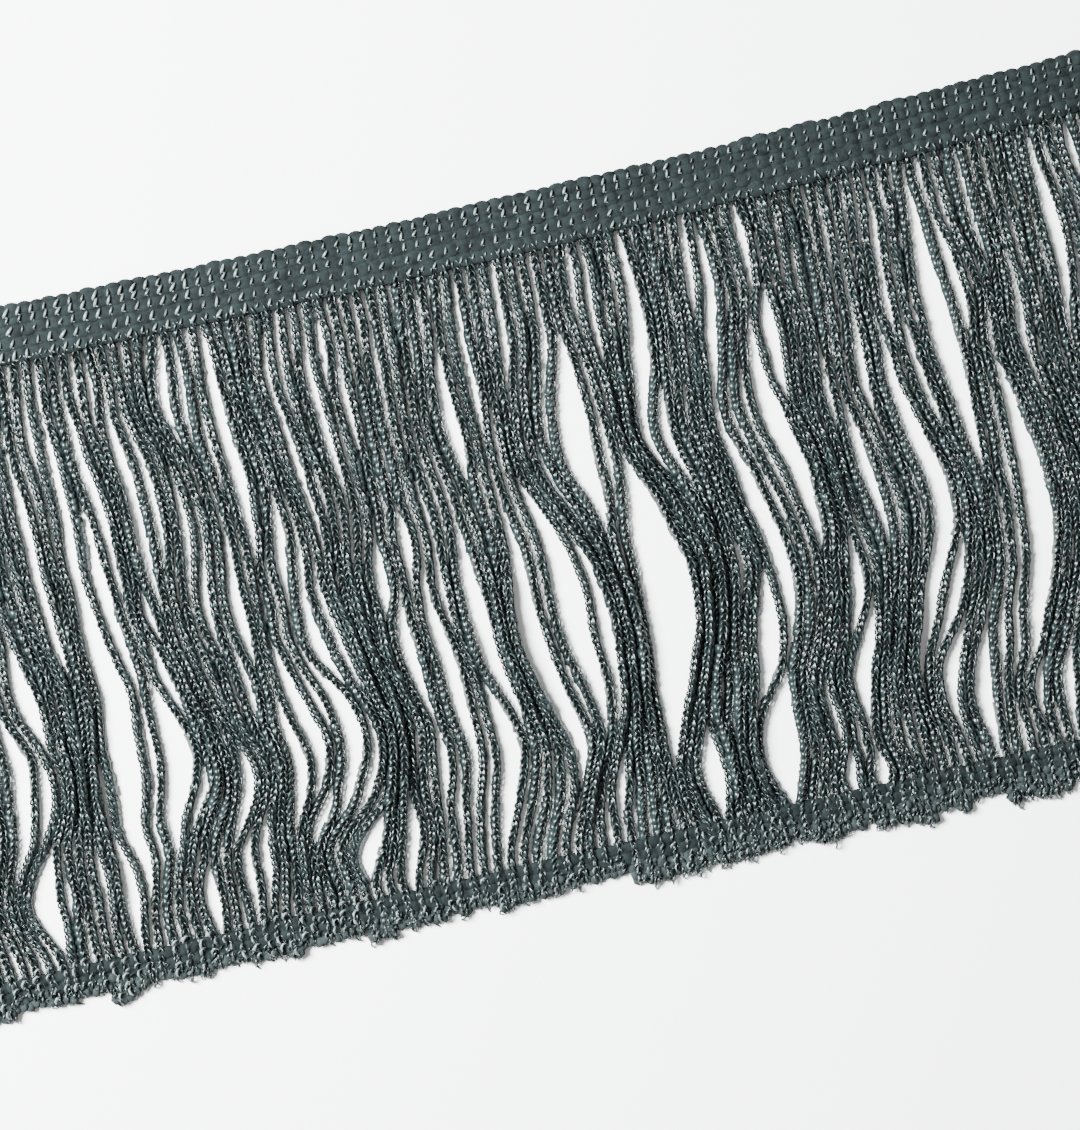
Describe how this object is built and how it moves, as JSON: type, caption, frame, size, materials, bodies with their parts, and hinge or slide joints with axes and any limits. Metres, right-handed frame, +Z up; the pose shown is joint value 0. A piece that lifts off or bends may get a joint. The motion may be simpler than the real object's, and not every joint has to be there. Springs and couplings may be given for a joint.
{
  "type": "chainette fringe",
  "caption": "Cut length of black chainette fringe lying flat: a ribbed knitted heading, parted wavy strands and a stitched holding band near the cut ends.",
  "frame": {"origin": "middle of the part's box, on the surface that it lies on", "axes": "+X along the heading, +Y from the cut ends towards the heading, +Z up off the surface"},
  "size_m": [0.1942, 0.1066, 0.0028],
  "materials": {
    "chainette_rayon": "lustrous black chained rayon cord",
    "heading_yarn": "matte black knitting yarn"
  },
  "bodies": {
    "root": {"heading_fringe": "chainette_rayon", "holding_band": "heading_yarn"}
  },
  "joints": []
}
